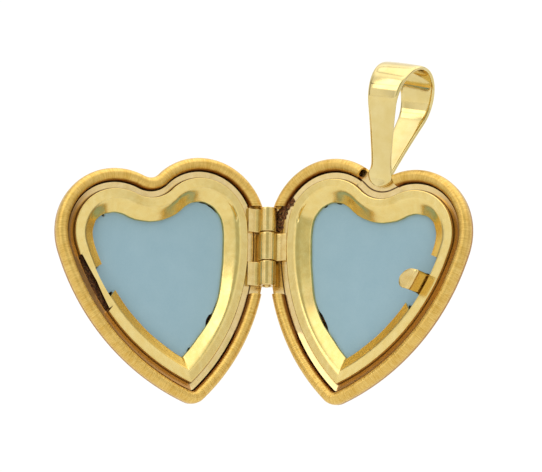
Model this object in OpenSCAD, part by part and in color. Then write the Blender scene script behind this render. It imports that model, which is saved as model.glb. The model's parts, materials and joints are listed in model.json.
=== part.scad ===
// Heart locket pendant, standing open on its hinge.
// The back half lies in the XZ plane with its inner face towards -Y.
// Each half is laid out flat as (u, depth, w): u away from the hinge side to side,
// depth into the half from the plane where the two rims meet, w up.
// The origin is where a chain bears inside the top of the bail.

/* [Heart outline] */
// Half the distance between the centres of the two lobes
lobe_half = 2.48; // [2.05:0.01:2.95]
// Radius of a lobe
lobe_r = 3.6; // [3.3:0.05:4.3]
// Radius of the cleft between the lobes
cleft_r = 0.8; // [0.6:0.05:1.2]
// Radius of the long side curves
side_r = 12; // [11:0.1:15]
// Distance from the lobe centres' line down to the point's centre
tip_drop = 8.45; // [7:0.05:10]
// Radius of the point
tip_r = 0.95; // [0.7:0.05:1.2]

/* [Case halves] */
// Depth of one half, from the meeting plane to the back of its dome
case_depth = 1.95; // [1.7:0.05:2.6]
// Thickness of the stamped sheet
sheet = 0.2; // [0.15:0.01:0.24]
// Clearance from each rim to the meeting plane
rim_gap = 0.03; // [0.02:0.01:0.06]
// Width of the rounded rim
rim_w = 0.66; // [0.54:0.02:0.78]
// Depth of the flange inside the rim
flange_depth = 0.5; // [0.45:0.01:0.6]
// Depth of the seam between the rim piece and the dome
seam_depth = 0.72; // [0.7:0.01:0.85]
// How far the outer wall draws in towards the seam
seam_in = 0.13; // [0.05:0.01:0.2]
// How flat the dome leaves the seam: 1 is an upright wall, more is flatter
dome_power = 1.5; // [1:0.1:2]

/* [Picture frames] */
// Distance from the outline to the frame's outer wall
frame_s = 1.08; // [0.98:0.02:1.2]
// Width of the frame's upper band, from its outer wall to the crease
band_w = 0.54; // [0.44:0.02:0.66]
// Width of the frame's lower band, from the crease to the window
lip_w = 0.66; // [0.54:0.02:0.8]
// Depth of the frame's outer edge
frame_top = 0.3; // [0.26:0.01:0.34]
// Depth of the window's edge
window_depth = 0.8; // [0.7:0.02:0.96]
// Thickness of the picture card
card_t = 0.2; // [0.12:0.02:0.3]

/* [Hinge] */
// How far the hinge axis lies inside the edge of the lobe
hinge_set = 0.05; // [0:0.01:0.2]
// Lean of the hinge axis from upright
hinge_lean = 12.9; // [10:0.1:14]
// Radius of the barrel
barrel_r = 0.47; // [0.4:0.01:0.48]
// Radius of the pin
pin_r = 0.2; // [0.15:0.01:0.25]
// Length of an end knuckle
end_knuckle = 1.3; // [1:0.05:1.6]
// Length of the middle knuckle
mid_knuckle = 1.5; // [1.1:0.05:1.8]
// Height of the top of the barrel over the axis's nearest point to the heart
barrel_top = 1.72; // [1.5:0.02:2]
// Angle between the two halves as they stand
open_angle = 126.3; // [30:0.1:150]

/* [Catch] */
// Height of the middle of the catch
catch_w = -2.4; // [-2.8:0.05:-2]
// Width of the tongue
tongue_width = 1.15; // [0.9:0.05:1.3]
// Height of the tongue over the meeting plane
tongue_rise = 0.66; // [0.5:0.02:0.68]
// Length of the tongue's bent end
tongue_lip = 0.85; // [0.7:0.05:1.05]
// Width of the keeper bar that the tongue snaps behind
keeper_w = 0.2; // [0.16:0.02:0.26]

/* [Bail] */
// Height of the loop over the cleft
bail_h = 6.3; // [5:0.1:7.6]
// Depth of the loop from front to back
bail_depth = 3.9; // [3.3:0.1:4.7]
// Width of the strip over the top
bail_top_w = 2.4; // [1.9:0.05:2.9]
// Width of the strip at its foot
bail_foot_w = 1.15; // [0.95:0.05:1.4]
// Depth of the loop's middle behind the meeting plane
bail_set = 0.6; // [0.4:0.05:0.9]
// Thickness of the strip
bail_t = 0.25; // [0.2:0.01:0.3]
// Radius of the rounded foot soldered to the flange
foot_r = 0.85; // [0.7:0.05:1]

/* [Hidden] */

gold = "#d8b04c";
pale_gold = "#e6cf8c";
card_blue = "#98b2be";

run = 0.03;            // radial clearance of the pin in the middle knuckle
knuckle_gap = 0.06;    // end clearance between knuckles
barrel_gap = 0.09;     // clearance of the case walls round the barrel
catch_gap = 0.08;      // clearance between the tongue and the keeper
notch_gap = 0.28;      // clearance beside the tongue in the keeper's notch
slot_lap = 0.02;       // how far a cut at the catch runs past what it cuts
pin_end = 0.1;         // how far the pin stands out at each end
leg_join = 0.06;       // height over which the two legs of the loop run together
taper = 1.6;           // how late the bail's strip widens: 1 is a straight taper
slot_gap = 0.5;        // how far the keeper's slot runs past the tongue's sides
relief = 1;            // how far the back frame is cut away beside the tongue
bail_gap = 0.3;        // clearance beside the bail's foot where the rim is cut
inner_tip_r = 0.12;    // smallest radius left at the point of an inner outline
card_set = 0.15;       // how far the card stays inside the crease beside the catch
card_gap = 0.05;       // clearance of the card from the ends of the frame's notch
card_lap = 0.15;       // how far the card reaches behind the frame
room_foot = 0.55;      // how far the room for the hinge runs below the barrel
root_lap = 0.32;       // how far the tongue's root reaches behind the frame
strip_lean = 0.1;      // how far the tongue's stem leans inwards
bend = 0.1;            // bevel at the tongue's bend
foot_lap = 0.6;        // height of the foot's lowest point over the frame's outer wall
far = 5;               // reach of a cutter past what it cuts

// --- heart outline: tangent arcs, moved inwards by s ---
cleft_w = sqrt(pow(lobe_r + cleft_r, 2) - pow(lobe_half, 2));
// The side curve's centre is side_r - lobe_r from the lobe's centre
// and side_r - tip_r from the point's centre.
near_r = side_r - lobe_r;
far_r = side_r - tip_r;
span = norm([lobe_half, tip_drop]);
along = (near_r * near_r - far_r * far_r + span * span) / (2 * span);
across = sqrt(near_r * near_r - along * along);
side_c = [lobe_half - along * lobe_half / span - across * tip_drop / span,
          -along * tip_drop / span + across * lobe_half / span];

cleft_end = atan2(-cleft_w, lobe_half);
lobe_end = atan2(-side_c[1], lobe_half - side_c[0]);

function arc(c, r, a0, a1, n) =
    [for (i = [0:n - 1]) let (a = a0 + (a1 - a0) * i / n) c + r * [cos(a), sin(a)]];
function point_r(s) = max(tip_r - s, inner_tip_r);
function point_c(s) =
    [0, side_c[1] - sqrt(pow(side_r - s - point_r(s), 2) - pow(side_c[0], 2))];
function half_outline(s) =
    let (p = point_c(s), a = atan2(p[1] - side_c[1], p[0] - side_c[0]))
    concat(arc([0, cleft_w], cleft_r + s, -90, cleft_end, 3),
           arc([lobe_half, 0], lobe_r - s, cleft_end + 180, lobe_end, 17),
           arc(side_c, side_r - s, lobe_end, a, 11),
           arc(p, point_r(s), a, -90, 5),
           [p - [0, point_r(s)]]);
function outline(s) =
    let (h = half_outline(s), n = len(h))
    concat(h, [for (i = [n - 2:-1:1]) [-h[i][0], h[i][1]]]);

// Closed ring: a profile of (s, depth) points carried round the outline.
module ring(profile) {
    rows = [for (p = profile) outline(p[0])];
    n = len(rows[0]);
    m = len(profile);
    polyhedron(
        points = [for (i = [0:n - 1]) for (j = [0:m - 1]) [rows[j][i][0], profile[j][1], rows[j][i][1]]],
        faces = [for (i = [0:n - 1]) for (j = [0:m - 1])
            let (a = i * m + j, b = i * m + (j + 1) % m,
                 c = ((i + 1) % n) * m + (j + 1) % m, d = ((i + 1) % n) * m + j)
            each [[a, c, b], [a, d, c]]]);
}

// Flat plate with the outline moved inwards by s, from depth d0 to d1.
module plate(s, d0, d1) {
    translate([0, d1, 0]) rotate([90, 0, 0]) linear_extrude(d1 - d0) polygon(outline(s));
}

// --- hinge frame: its Z runs up the axis, its X into the back half ---
hinge_reach = lobe_half * cos(hinge_lean) + lobe_r - hinge_set;
hinge_foot = [-hinge_reach * cos(hinge_lean), 0, -hinge_reach * sin(hinge_lean)];
module from_hinge() {
    translate(hinge_foot) rotate([0, -hinge_lean, 0]) children();
}
module to_hinge() {
    rotate([0, hinge_lean, 0]) translate(-hinge_foot) children();
}

// --- bail loop in (depth, w), a drop with its point at the cleft ---
crown_r = bail_depth / 2 - bail_t;    // inside the strip
cleft_low = cleft_w - cleft_r;
point_rise = 0.15;                    // height of the drop's point over the cleft
loop_point = [flange_depth - bail_t / 2, cleft_low + point_rise];
loop_c = [bail_set, cleft_low + bail_h - bail_depth / 2];
loop_top = loop_c[1] + crown_r + bail_t;
chain_point = [0, loop_c[0], loop_c[1] + crown_r];

module place_back() {
    translate(-chain_point) children();
}
module place_front() {
    translate(-chain_point) from_hinge() rotate([0, 0, -open_angle]) to_hinge()
        mirror([0, 1, 0]) children();
}

// --- pieces of one half ---
dome_c = [0, -1.6];    // the dome's summit
dome_n = 9;            // rings on the dome
function dome_rows(s, d_edge, d_top) =
    [for (k = [0:dome_n - 1]) let (a = 90 * k / dome_n)
        for (o = outline(s)) let (q = dome_c + cos(a) * (o - dome_c))
            [q[0], d_edge + (d_top - d_edge) * pow(sin(a), dome_power), q[1]]];

module shell() {
    n = len(outline(0));
    outer = concat(dome_rows(seam_in, seam_depth, case_depth), [[dome_c[0], case_depth, dome_c[1]]]);
    inner = concat(dome_rows(seam_in + sheet, seam_depth, case_depth - sheet),
                   [[dome_c[0], case_depth - sheet, dome_c[1]]]);
    m = len(outer);
    polyhedron(
        points = concat(outer, inner),
        faces = concat(
            [for (k = [0:dome_n - 2]) for (i = [0:n - 1])
                let (a = k * n + i, b = k * n + (i + 1) % n, c = b + n, d = a + n)
                each [[a, c, d], [a, b, c], [m + a, m + d, m + c], [m + a, m + c, m + b]]],
            [for (i = [0:n - 1]) let (a = (dome_n - 1) * n + i, b = (dome_n - 1) * n + (i + 1) % n)
                each [[a, b, m - 1], [m + a, 2 * m - 1, m + b]]],
            [for (i = [0:n - 1]) let (b = (i + 1) % n)
                each [[i, m + i, m + b], [i, m + b, b]]]));
}

// Room for the bail's foot: the rim is cut down to the flange
module bail_room() {
    translate([-foot_r - bail_gap, -far, frame_low]) cube([2 * (foot_r + bail_gap), far + flange_depth, far]);
}

flange_end = frame_s + sheet;
frame_low = cleft_low - frame_s;    // height of the frame's outer wall under the cleft
module bezel() {
    crest = rim_w / 2;
    shoulder = 0.3;      // depth where the rim's round ends
    corner = 0.06;       // width of its corners
    ease = 0.02;         // how much lower the crest's sides are
    share = 0.6;         // their place between corner and crest
    ring([[seam_in, seam_depth], [0, flange_depth], [0, shoulder], [corner, shoulder / 2],
          [crest * share, rim_gap + ease], [crest, rim_gap], [crest * (2 - share), rim_gap + ease],
          [rim_w - corner, shoulder / 2], [rim_w, shoulder], [rim_w, flange_depth],
          [flange_end, flange_depth], [flange_end, flange_depth + sheet],
          [rim_w - sheet, flange_depth + sheet], [rim_w - sheet, shoulder],
          [crest, rim_gap + sheet], [sheet, shoulder], [sheet, flange_depth],
          [seam_in + sheet, seam_depth]]);
}

crease_s = frame_s + band_w;
window_s = crease_s + lip_w;
card_depth = window_depth + sheet;
module frame() {
    edge = 0.04;         // bevel of the outer edge
    ring([[frame_s, flange_depth], [frame_s, frame_top + edge], [frame_s + edge, frame_top],
          [crease_s - edge, frame_top], [crease_s + edge, frame_top + edge / 2],
          [window_s, window_depth], [window_s, card_depth], [window_s - card_lap, card_depth],
          [crease_s, frame_top + sheet], [frame_s + sheet, flange_depth]]);
}

// The card reaches further out where the frame is cut away beside the catch
module card(half) {
    plate(window_s - card_lap, card_depth, card_depth + card_t);
    intersection() {
        plate(crease_s + card_set, card_depth, card_depth + card_t);
        at_catch() translate([side_r - far, 0, card_gap - half]) cube([far, far, 2 * (half - card_gap)]);
    }
}

// Room for the hinge: the rim is cut down to the flange beside the barrel,
// and the walls clear the barrel itself.
room_head = 0.1;    // room over the barrel
room_top = barrel_top + room_head;
barrel_len = 2 * end_knuckle + mid_knuckle + 2 * knuckle_gap;
room_len = barrel_len + room_foot;
module hinge_room() {
    from_hinge() {
        translate([-far, -far, room_top - room_len]) cube([far + room_in, far + flange_depth, room_len]);
        translate([0, 0, room_top - room_len])
            cylinder(r = barrel_r + barrel_gap, h = room_len, $fn = 48);
    }
}

// --- catch: drawn in (r, depth) about the side curve's centre, where the outline is at r = side_r ---
catch_turn = asin((catch_w - side_c[1]) / (side_r - crease_s));
module at_catch() {
    translate([side_c[0], 0, side_c[1]]) rotate([0, -catch_turn, 0]) children();
}

// What lies inside the outline moved inwards by s, beside the catch
module catch_cut(s, half) {
    intersection() {
        plate(s, -far, card_depth + slot_lap);
        at_catch() translate([side_r - far, -far, -half]) cube([far, 2 * far, 2 * half]);
    }
}

// The slot outside the keeper, through the frame's outer edge and the flange below it
module keeper_slot() {
    difference() {
        catch_cut(frame_s - slot_lap, tongue_width / 2 + slot_gap);
        catch_cut(crease_s - keeper_w, tongue_width);
    }
}

// --- hinge leaves: a knuckle, and a flat leaf on the flange ---
leaf_gap = 0.06;    // clearance of a leaf's end from the frame's outer wall
leaf_end = frame_s - hinge_set - leaf_gap;
room_in = leaf_end + leaf_gap;
module leaf(z0, len, bore) {
    from_hinge() translate([0, 0, z0]) difference() {
        union() {
            cylinder(r = barrel_r, h = len, $fn = 48);
            translate([0, flange_depth - sheet, 0]) cube([leaf_end, sheet, len]);
        }
        translate([0, 0, -far]) cylinder(r = bore, h = len + 2 * far, $fn = 48);
    }
}

mid_z = barrel_top - end_knuckle - knuckle_gap - mid_knuckle;
low_z = mid_z - knuckle_gap - end_knuckle;

// --- catch tongue: a bent strip, its root soldered behind the frame's upper band ---
strip = sheet * 0.8;
module tongue() {
    stem = side_r - crease_s - catch_gap;    // its outer face
    head = stem - strip_lean;
    root = frame_top + sheet;
    top = -tongue_rise;
    at_catch() translate([0, 0, -tongue_width / 2]) linear_extrude(tongue_width) polygon([
        [stem + root_lap, root], [stem + root_lap, root + strip], [stem - strip, root + strip],
        [head - strip, top + strip + bend], [head - strip - bend, top + strip],
        [head - tongue_lip, top + strip], [head - tongue_lip, top], [head - bend, top],
        [head, top + bend], [stem, root]]);
}

// --- bail: a strip bent round a drop-shaped loop, ending in a foot on the flange ---
// A drop in (depth, w): a circle of radius r, and the tangents from a point to it
module drop(r) {
    p = loop_c + (loop_point - loop_c) * r / crown_r;
    v = p - loop_c;
    lean = acos(r / norm(v));
    a = atan2(v[1], v[0]);
    translate(loop_c) circle(r = r, $fn = 72);
    polygon([p, loop_c + r * [cos(a + lean), sin(a + lean)], loop_c,
             loop_c + r * [cos(a - lean), sin(a - lean)]]);
}
function strip_half(w) =
    (bail_foot_w + (bail_top_w - bail_foot_w) * pow(max(0, w - loop_point[1]) / (loop_top - loop_point[1]), taper)) / 2;
module bail_strip() {
    taper_n = 8;
    low = loop_point[1] - leg_join;
    side = [for (i = [0:taper_n]) let (w = low + (loop_top - low) * i / taper_n) [strip_half(w), w]];
    // (depth, w) turned to stand across u
    intersection() {
        translate([-bail_top_w, 0, 0]) rotate([90, 0, 90]) linear_extrude(2 * bail_top_w) difference() {
            drop(crown_r + bail_t);
            drop(crown_r);
        }
        translate([0, bail_depth, 0]) rotate([90, 0, 0]) linear_extrude(2 * bail_depth)
            polygon(concat(side, [for (i = [taper_n:-1:0]) [-side[i][0], side[i][1]]]));
    }
}

// The rounded foot of the strip, lying on the flange
module bail_foot() {
    translate([0, flange_depth, 0]) rotate([90, 0, 0]) linear_extrude(bail_t) intersection() {
        translate([0, frame_low + foot_lap + foot_r]) circle(r = foot_r, $fn = 40);
        translate([-far, 0]) square([2 * far, loop_point[1] + point_rise]);
    }
}

module back_shell() {
    color(gold) place_back() difference() {
        shell();
        hinge_room();
    }
}
module back_bezel() {
    color(gold) place_back() difference() {
        bezel();
        hinge_room();
        bail_room();
    }
}
module back_frame() {
    color(pale_gold) place_back() difference() {
        frame();
        catch_cut(crease_s, tongue_width / 2 + relief);
    }
}
module back_card() {
    color(card_blue) place_back() card(tongue_width / 2 + relief);
}
module back_hinge_leaf() {
    color(gold) place_back() leaf(mid_z, mid_knuckle, pin_r + run);
}
module catch_tongue() {
    color(gold) place_back() tongue();
}
module bail() {
    color(pale_gold) place_back() union() {
        bail_strip();
        bail_foot();
    }
}
module front_shell() {
    color(gold) place_front() difference() {
        shell();
        hinge_room();
    }
}
module front_bezel() {
    color(gold) place_front() difference() {
        bezel();
        hinge_room();
        keeper_slot();
    }
}
module front_frame() {
    color(pale_gold) place_front() difference() {
        frame();
        catch_cut(crease_s, tongue_width / 2 + notch_gap);
        keeper_slot();
    }
}
module front_card() {
    color(card_blue) place_front() card(tongue_width / 2 + notch_gap);
}
module front_upper_leaf() {
    color(gold) place_front() leaf(barrel_top - end_knuckle, end_knuckle, pin_r);
}
module front_lower_leaf() {
    color(gold) place_front() leaf(low_z, end_knuckle, pin_r);
}
module hinge_pin() {
    color(pale_gold) place_back() from_hinge()
        translate([0, 0, low_z - pin_end]) cylinder(r = pin_r, h = barrel_len + 2 * pin_end, $fn = 32);
}

back_shell();
back_bezel();
back_frame();
back_card();
back_hinge_leaf();
catch_tongue();
bail();
front_shell();
front_bezel();
front_frame();
front_card();
front_upper_leaf();
front_lower_leaf();
hinge_pin();
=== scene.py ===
import json
import bmesh
import bpy
import numpy as np
from mathutils import Matrix, Vector


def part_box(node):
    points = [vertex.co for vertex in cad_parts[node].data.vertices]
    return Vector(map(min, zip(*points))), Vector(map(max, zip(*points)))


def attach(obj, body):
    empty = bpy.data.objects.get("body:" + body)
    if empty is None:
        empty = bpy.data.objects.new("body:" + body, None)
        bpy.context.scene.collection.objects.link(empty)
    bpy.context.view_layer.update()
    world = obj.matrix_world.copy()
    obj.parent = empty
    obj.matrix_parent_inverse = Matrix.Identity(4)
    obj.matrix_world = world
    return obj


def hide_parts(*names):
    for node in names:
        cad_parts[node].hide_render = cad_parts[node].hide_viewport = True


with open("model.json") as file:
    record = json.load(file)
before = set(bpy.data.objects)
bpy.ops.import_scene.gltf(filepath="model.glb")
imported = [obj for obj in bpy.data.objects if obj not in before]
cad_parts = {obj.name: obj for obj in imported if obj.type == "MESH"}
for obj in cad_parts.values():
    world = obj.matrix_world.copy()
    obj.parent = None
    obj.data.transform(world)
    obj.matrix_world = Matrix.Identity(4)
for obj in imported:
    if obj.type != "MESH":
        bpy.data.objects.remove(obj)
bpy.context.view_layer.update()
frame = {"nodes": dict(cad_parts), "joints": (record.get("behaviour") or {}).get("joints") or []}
mm = 0.001
print("frame loaded:", len(frame["nodes"]), "nodes")

# The heart's outline, in mm, and where each half stands

heart = {
    "lobeHalf": 2.48,  # half the distance between the lobes' centres
    "lobeR": 3.6,
    "cleftR": 0.8,
    "sideR": 12.0,
    "tipDrop": 8.45,   # from the lobe centres down to the point's centre
    "tipR": 0.95,
    "innerTipR": 0.12,  # smallest radius left at the point of an inner outline
    "caseDepth": 1.95,
    "frameInset": 1.08,
}
lobeHalf, lobeR, cleftR = heart["lobeHalf"], heart["lobeR"], heart["cleftR"]
sideR, tipR = heart["sideR"], heart["tipR"]
cleftW = np.sqrt((lobeR + cleftR) ** 2 - lobeHalf**2)
span = np.hypot(lobeHalf, heart["tipDrop"])
nearR, farR = sideR - lobeR, sideR - tipR
along = (nearR**2 - farR**2 + span**2) / (2 * span)
across = np.sqrt(nearR**2 - along**2)
sideU = lobeHalf - along * lobeHalf / span - across * heart["tipDrop"] / span
sideW = -along * heart["tipDrop"] / span + across * lobeHalf / span
cleftEnd = np.arctan2(-cleftW, lobeHalf)
lobeEnd = np.arctan2(-sideW, lobeHalf - sideU)


def heartPoints(t, s):
    # Tangent arcs moved inwards by s. t runs 0 to 4 from the cleft over one lobe and down its side to the
    # point, one whole number for each arc, and 4 to 8 comes back mirrored on the hinge's side.
    t, s = np.broadcast_arrays(np.asarray(t, float) % 8, np.asarray(s, float))
    k = np.where(t > 4, 8 - t, t)
    f = k - np.clip(np.floor(k), 0, 3)
    pointR = np.maximum(tipR - s, heart["innerTipR"])
    pointW = sideW - np.sqrt((sideR - s - pointR) ** 2 - sideU**2)
    sideEnd = np.arctan2(pointW - sideW, -sideU)
    # each arc: centre, radius, first and last angle
    arcs = [(0, cleftW, cleftR + s, -np.pi / 2, cleftEnd),
            (lobeHalf, 0, lobeR - s, cleftEnd + np.pi, lobeEnd),
            (sideU, sideW, sideR - s, lobeEnd, sideEnd),
            (0, pointW, pointR, sideEnd, -np.pi / 2)]
    us = [cu + r * np.cos(a0 + (a1 - a0) * f) for cu, cw, r, a0, a1 in arcs]
    ws = [cw + r * np.sin(a0 + (a1 - a0) * f) for cu, cw, r, a0, a1 in arcs]
    part = [k < 1, k < 2, k < 3, k <= 4]
    u = np.select(part, us) * np.where(t > 4, -1, 1)
    return u, np.select(part, ws)


def outlineSteps(extra=(), fine=1.0):
    # Values of t round the whole outline, closer together where an arc is tight, with some exact ones added
    counts = [int(c * fine) for c in (12, 66, 54, 18)]
    half = np.concatenate([k + np.arange(c) / c for k, c in enumerate(counts)])
    return np.unique(np.round(np.concatenate([half, [4.0], 8 - half[1:], np.asarray(extra, float) % 8]), 6))


def middles(t):
    # Half way from each t to the next, round the outline
    after = np.roll(t, -1)
    return (t + after + np.where(after < t, 8, 0)) / 2


def tWhere(level, lo, hi, s, measure):
    # The t between lo and hi where measure(u, w) crosses level, for each inset s
    t = np.linspace(lo, hi, 1500)[:, None]
    value = measure(*heartPoints(t, np.atleast_1d(s)[None, :])) - level
    i = np.argmax(value[1:] * value[:-1] <= 0, axis=0)
    j = np.arange(value.shape[1])
    a, b = value[i, j], value[i + 1, j]
    return t[i, 0] + (t[i + 1, 0] - t[i, 0]) * a / (a - b)


# The halves' own origin, between the lobes' centres, and the hinge
lowFrame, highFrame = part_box("back_frame")
heartAt = Vector(((lowFrame.x + highFrame.x) / 2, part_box("back_shell")[1].y - heart["caseDepth"] * mm,
                  highFrame.z - (lobeR - heart["frameInset"]) * mm))
joint = frame["joints"][0]
hingeAxis = Vector(joint["axis"]).normalized()
hingeAt = Vector(joint["pos_m"])
openAngle = np.radians(max(joint["range_deg"]))
hingeU, hingeW = (hingeAt.x - heartAt.x) / mm, (hingeAt.z - heartAt.z) / mm
leanSin, leanCos = -hingeAxis.x, hingeAxis.z
toHinge = Matrix.Translation(hingeAt)
turnFront = toHinge @ Matrix.Rotation(-openAngle, 4, hingeAxis) @ toHinge.inverted()


def upHinge(u, w):
    # Height along the hinge's axis, over the axis's nearest point to the heart
    return -(u - hingeU) * leanSin + (w - hingeW) * leanCos


def fromHinge(x, depth, z):
    # x away from the axis into a half, z up the axis, to the half's own (u, depth, w)
    u = hingeU + x * leanCos - z * leanSin
    w = hingeW + x * leanSin + z * leanCos
    return np.stack(np.broadcast_arrays(u, depth, w), -1)


def placeHalf(side, p):
    # (u, depth, w) in mm to the shared frame in metres. The front half is the mirror image, swung open.
    if side == "back":
        return p * mm + np.array(heartAt)
    q = p * np.array([1, -1, 1]) * mm + np.array(heartAt)
    m = np.array(turnFront)
    return q @ m[:3, :3].T + m[:3, 3]


# Meshes from grids

def makeMesh(name, points, faces, lie=None, faceKinds=None, smoothAngle=35, away=None):
    # points (k, 3), faces (f, 4). lie is a coordinate that follows the surface, for the finish.
    tri = np.concatenate([faces[:, [0, 1, 2]], faces[:, [0, 2, 3]]])
    a, b, c = points[tri[:, 0]], points[tri[:, 1]], points[tri[:, 2]]
    if np.einsum("ij,ij->i", a, np.cross(b, c)).sum() < 0:
        faces = faces[:, ::-1]
    used, renumbered = np.unique(faces, return_inverse=True)
    faces = renumbered.reshape(faces.shape)
    mesh = bpy.data.meshes.new(name)
    mesh.from_pydata(points[used].tolist(), [], faces.tolist())
    if faceKinds is not None:
        mesh.polygons.foreach_set("material_index", faceKinds.astype(np.int32))
    if lie is not None:
        layer = mesh.attributes.new("lie", "FLOAT_VECTOR", "POINT")
        layer.data.foreach_set("vector", lie[used].astype(np.float32).ravel())
    if away is not None:
        mesh.attributes.new("away", "FLOAT", "POINT").data.foreach_set("value", away[used].astype(np.float32))
    obj = bpy.data.objects.new(name, mesh)
    bpy.context.scene.collection.objects.link(obj)
    weldMesh(mesh)
    mesh.polygons.foreach_set("use_smooth", np.ones(len(mesh.polygons), bool))
    mesh.set_sharp_from_angle(angle=np.radians(smoothAngle))
    mesh.update()
    return obj


def weldMesh(mesh):
    # Joins points that lie on each other, which closes poles and drops faces without area
    work = bmesh.new()
    work.from_mesh(mesh)
    bmesh.ops.remove_doubles(work, verts=work.verts, dist=2e-7)
    work.to_mesh(mesh)
    work.free()


def sheetParts(top, under, keep=None, loop=False):
    # A sheet between two grids (n, m, 3). Each kept cell gives a face on both, and each edge between
    # a kept cell and a missing one gives a wall, so holes and notches have true edges.
    n, m = top.shape[:2]
    cells = n if loop else n - 1
    keep = np.ones((cells, m - 1), bool) if keep is None else keep
    i, j = np.nonzero(keep)
    nextI = (i + 1) % n
    shift = n * m
    a, b, c, d = i * m + j, nextI * m + j, nextI * m + j + 1, i * m + j + 1
    sides = [np.stack([a, b, c, d], -1), np.stack([d, c, b, a], -1) + shift]
    before = np.roll(keep, 1, 0) if loop else np.vstack([np.zeros((1, m - 1), bool), keep[:-1]])
    after = np.roll(keep, -1, 0) if loop else np.vstack([keep[1:], np.zeros((1, m - 1), bool)])
    left = np.hstack([np.zeros((cells, 1), bool), keep[:, :-1]])
    right = np.hstack([keep[:, 1:], np.zeros((cells, 1), bool)])
    for bare, p, q in ((~left, b, a), (~right, d, c), (~before, a, d), (~after, c, b)):
        w = bare[i, j]
        sides.append(np.stack([p[w], q[w], q[w] + shift, p[w] + shift], -1))
    # kinds: 0 top, 1 under, 2 wall
    kinds = np.concatenate([np.full(len(x), min(k, 2)) for k, x in enumerate(sides)])
    points = np.concatenate([top.reshape(-1, 3), under.reshape(-1, 3)])
    return points, np.concatenate(sides), kinds


def offsetProfile(s, d, thick):
    # The profile (s, depth) moved by thick to its left hand, as the inner side of a sheet
    ds, dd = np.gradient(s), np.gradient(d)
    size = np.hypot(ds, dd)
    return s - dd / size * thick, d + ds / size * thick


def lieOf(t, profile, ringS=0.3):
    # The way along the outline as a circle of the same length, and the way across the profile, in mm:
    # a pattern read from it has no seam.
    u, w = heartPoints(np.append(t, t[0] + 8), ringS)
    run = np.concatenate([[0], np.cumsum(np.hypot(np.diff(u), np.diff(w)))])
    angle, r = 2 * np.pi * run[:-1] / run[-1], run[-1] / (2 * np.pi)
    grid = np.zeros((len(t), len(profile), 3))
    grid[..., 0], grid[..., 1] = (r * np.cos(angle))[:, None], (r * np.sin(angle))[:, None]
    grid[..., 2] = profile[None, :]
    return grid.reshape(-1, 3)


def profileRun(s, d):
    return np.concatenate([[0], np.cumsum(np.hypot(np.diff(s), np.diff(d)))])


def pathNormal(path):
    # To the left hand of a path in a plane
    tangent = np.gradient(path, axis=0)
    tangent /= np.linalg.norm(tangent, axis=1)[:, None]
    return np.stack([-tangent[:, 1], tangent[:, 0]], -1)


def sweep(t, s, d):
    # The profile (s, depth) carried round the outline: t (n, 1) or (n, m), s and d (m) or (n, m)
    u, w = heartPoints(t, s)
    return np.stack(np.broadcast_arrays(u, d, w), -1)


def finishPiece(obj, body, slotName, materials, *nodes):
    for material in materials:
        obj.data.materials.append(material)
    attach(obj, body)
    if nodes:
        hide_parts(*nodes)
    print("made", obj.name, len(obj.data.polygons), "faces")
    return obj


# Finishes

class Wire:
    # A socket that takes part in Python expressions: each operator adds a Math node
    def __init__(self, bench, socket):
        self.bench, self.socket = bench, socket

    def maths(self, how, *values):
        return self.bench.add("ShaderNodeMath", {"operation": how}, dict(enumerate(values))).out("Value")

    def __add__(self, other):
        return self.maths("ADD", self, other)

    def __radd__(self, other):
        return self.maths("ADD", other, self)

    def __sub__(self, other):
        return self.maths("SUBTRACT", self, other)

    def __rsub__(self, other):
        return self.maths("SUBTRACT", other, self)

    def __mul__(self, other):
        return self.maths("MULTIPLY", self, other)

    def __rmul__(self, other):
        return self.maths("MULTIPLY", other, self)

    def clamp(self):
        kept = self.maths("MULTIPLY_ADD", self, 1.0, 0.0)
        kept.socket.node.use_clamp = True
        return kept

    def ramp(self, low, high):
        # 0 at low and 1 at high, smooth between them
        node = self.bench.add("ShaderNodeMapRange", {"interpolation_type": "SMOOTHSTEP"},
                              {"Value": self, "From Min": low, "From Max": high})
        return node.out("Result")


class Placed:
    # A node whose outputs are taken as wires
    def __init__(self, bench, node):
        self.bench, self.node = bench, node

    def out(self, name):
        return Wire(self.bench, self.node.outputs[name])


class Bench:
    # A node tree to build in
    def __init__(self, tree):
        self.tree = tree
        tree.nodes.clear()

    def add(self, kind, settings=None, inputs=None):
        # One node: its settings first, then the values or links of its sockets
        node = self.tree.nodes.new(kind)
        for key, value in (settings or {}).items():
            setattr(node, key, value)
        for key, value in (inputs or {}).items():
            if isinstance(value, Wire):
                self.tree.links.new(value.socket, node.inputs[key])
            else:
                node.inputs[key].default_value = value
        return Placed(self, node)

    def mix(self, amount, first, second):
        inputs = {0: amount, 6: asColour(first), 7: asColour(second)}
        return self.add("ShaderNodeMix", {"data_type": "RGBA"}, inputs).out(2)

    def noise(self, where, scale, detail=3.0, rough=0.55):
        inputs = {"Vector": where, "Scale": scale, "Detail": detail, "Roughness": rough}
        return self.add("ShaderNodeTexNoise", {}, inputs).out("Fac")

    def stretch(self, where, scale, move=(0, 0, 0)):
        inputs = {"Vector": where, "Scale": scale, "Location": move}
        return self.add("ShaderNodeMapping", {}, inputs).out("Vector")

    def lie(self):
        return self.add("ShaderNodeAttribute", {"attribute_name": "lie"}).out("Vector")

    def across(self):
        # mm across the profile
        return self.add("ShaderNodeSeparateXYZ", {}, {"Vector": self.lie()}).out("Z")

    def away(self):
        # 1 on the side away from the hinge, 0 elsewhere
        return self.add("ShaderNodeAttribute", {"attribute_name": "away"}).out("Fac")

    def place(self):
        # Object coordinates in mm
        where = self.add("ShaderNodeTexCoord").out("Object")
        return self.stretch(where, (1 / mm, 1 / mm, 1 / mm))

    def bump(self, height, strength, distance):
        inputs = {"Height": height, "Strength": strength, "Distance": distance}
        return self.add("ShaderNodeBump", {}, inputs).out("Normal")


def asColour(value):
    return value if isinstance(value, Wire) else (*value, 1.0)


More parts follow.
